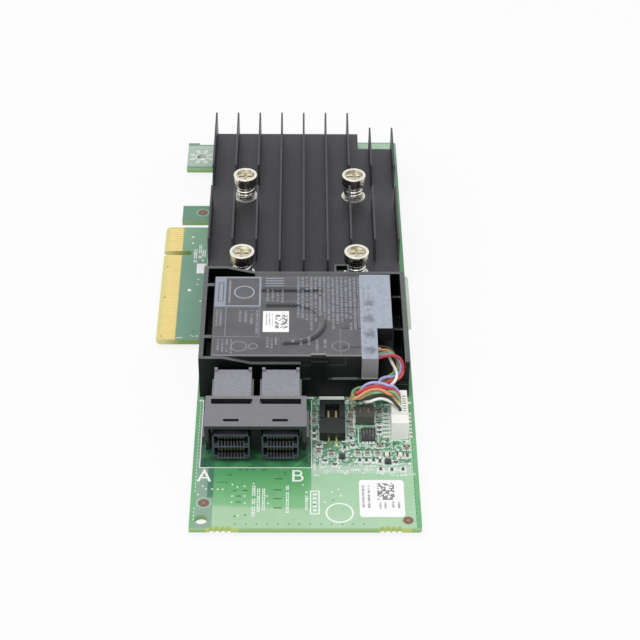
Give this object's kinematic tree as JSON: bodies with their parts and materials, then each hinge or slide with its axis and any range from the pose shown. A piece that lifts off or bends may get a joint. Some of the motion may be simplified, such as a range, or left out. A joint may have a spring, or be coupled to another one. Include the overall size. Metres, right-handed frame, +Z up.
{
  "type": "raid controller card",
  "caption": "Plug-in storage controller card with an edge connector, finned heat sink held by spring screws, clip-in backup battery, lead and twin cable ports.",
  "frame": {"origin": "centre of the card's overall outline, at the level of the lowest points under the board, where the nuts and solder tails rest", "axes": "+Y along the card's length, away from the cable ports; +Z up from the component side; -X towards the edge connector"},
  "size_m": [0.0698, 0.1694, 0.0169],
  "materials": {
    "board": "satin solder mask",
    "gold": "gold-plated",
    "heat_sink": "black anodised",
    "screws": "nickel-plated",
    "washers": "bright",
    "springs": "bright wire",
    "nuts": "plated",
    "chip_package": "moulded epoxy",
    "thermal_pad": "soft",
    "black_plastic": "moulded",
    "pack_body": "satin",
    "pack_film": "satin printed film",
    "strip_film": "satin film",
    "sticker": "matte",
    "hood_plastic": "moulded",
    "port_plastic": "moulded",
    "cover_plastic": "moulded, mottled",
    "tin": "tin-plated",
    "white_plastic": "moulded",
    "red_wire": "smooth insulation",
    "blue_wire": "smooth insulation",
    "green_wire": "smooth insulation",
    "orange_wire": "smooth insulation",
    "yellow_wire": "smooth insulation",
    "black_wire": "smooth insulation",
    "white_wire": "smooth insulation",
    "inductor": "pressed powder",
    "capacitor": "unglazed",
    "led": "clear resin",
    "clear_film": "translucent film"
  },
  "bodies": {
    "root": {"circuit_board": "board", "edge_contacts": "gold", "heat_sink": "heat_sink", "spring_screws": "screws", "screw_washers": "washers", "screw_springs": "springs", "board_nuts": "nuts", "raid_processor": "chip_package", "thermal_pad": "thermal_pad", "memory_chips": "chip_package", "battery_tray": "black_plastic", "battery_case": "pack_body", "battery_label": "pack_film", "battery_strip": "strip_film", "battery_sticker": "sticker", "port_hood": "hood_plastic", "port_a_receptacle": "port_plastic", "port_b_receptacle": "port_plastic", "port_a_contacts": "gold", "port_b_contacts": "gold", "port_a_cover": "cover_plastic", "port_b_cover": "cover_plastic", "port_a_wafers": "port_plastic", "port_b_wafers": "port_plastic", "port_tails": "tin", "battery_header": "white_plastic", "battery_plug": "white_plastic", "header_tails": "tin", "wire_red": "red_wire", "wire_blue": "blue_wire", "wire_green": "green_wire", "wire_orange": "orange_wire", "wire_yellow": "yellow_wire", "wire_black": "black_wire", "wire_white": "white_wire", "socket_block": "port_plastic", "socket_pins": "gold", "socket_shroud": "port_plastic", "socket_anchor": "tin", "power_inductor": "inductor", "power_chip": "chip_package", "chip_capacitors": "capacitor", "chip_resistors": "chip_package", "status_leds": "led", "chip_terminals": "tin", "small_transistors": "chip_package", "underside_capacitors": "capacitor", "rating_sticker": "sticker", "edge_insulator": "clear_film"}
  },
  "joints": []
}
